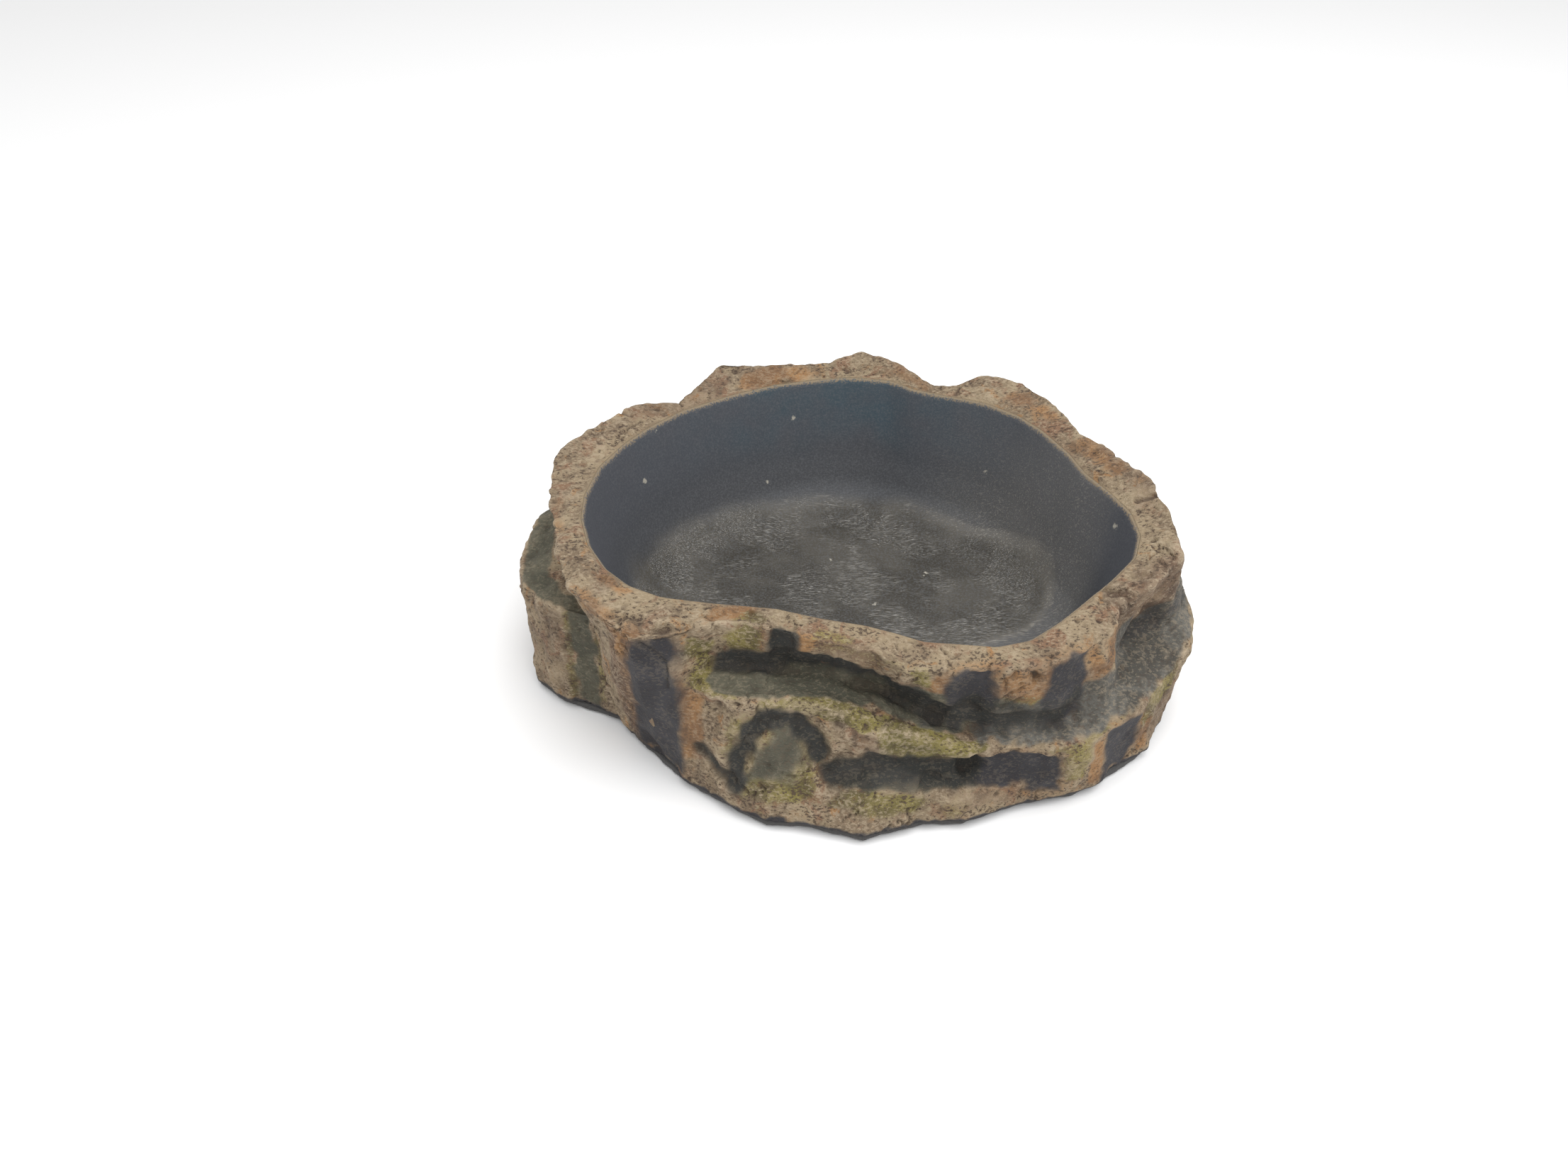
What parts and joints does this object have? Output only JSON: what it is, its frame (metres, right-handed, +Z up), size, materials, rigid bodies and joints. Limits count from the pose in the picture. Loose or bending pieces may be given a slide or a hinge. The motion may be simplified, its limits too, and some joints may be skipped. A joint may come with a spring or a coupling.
{
  "type": "rock-look water dish",
  "caption": "Open oval dish for a vivarium: a painted cast-resin rock ring round a smooth, sloped basin, on a flat base with non-slip pads.",
  "frame": {"origin": "middle of the dish's own box, on the surface that the pads stand on", "axes": "+X to the right along the long side, seen from the front; +Y to the back; +Z up"},
  "size_m": [0.2796, 0.2372, 0.0877],
  "materials": {
    "painted_rock": "cold-cast polyester resin, dry-brushed in sand, ochre, moss green and slate blue over dark brown, matte",
    "sealed_basin": "cold-cast polyester resin, slate blue-grey fading to olive-brown at the floor, sealed, satin",
    "backing": "unpainted dark grey filled resin, flat, sanded",
    "pad_foam": "closed-cell foam rubber, matte"
  },
  "bodies": {
    "root": {"rock_shell": "painted_rock", "basin_liner": "sealed_basin", "base_plate": "backing", "non_slip_pad_front_left": "pad_foam", "non_slip_pad_front_right": "pad_foam", "non_slip_pad_back_right": "pad_foam", "non_slip_pad_back_left": "pad_foam"}
  },
  "joints": []
}
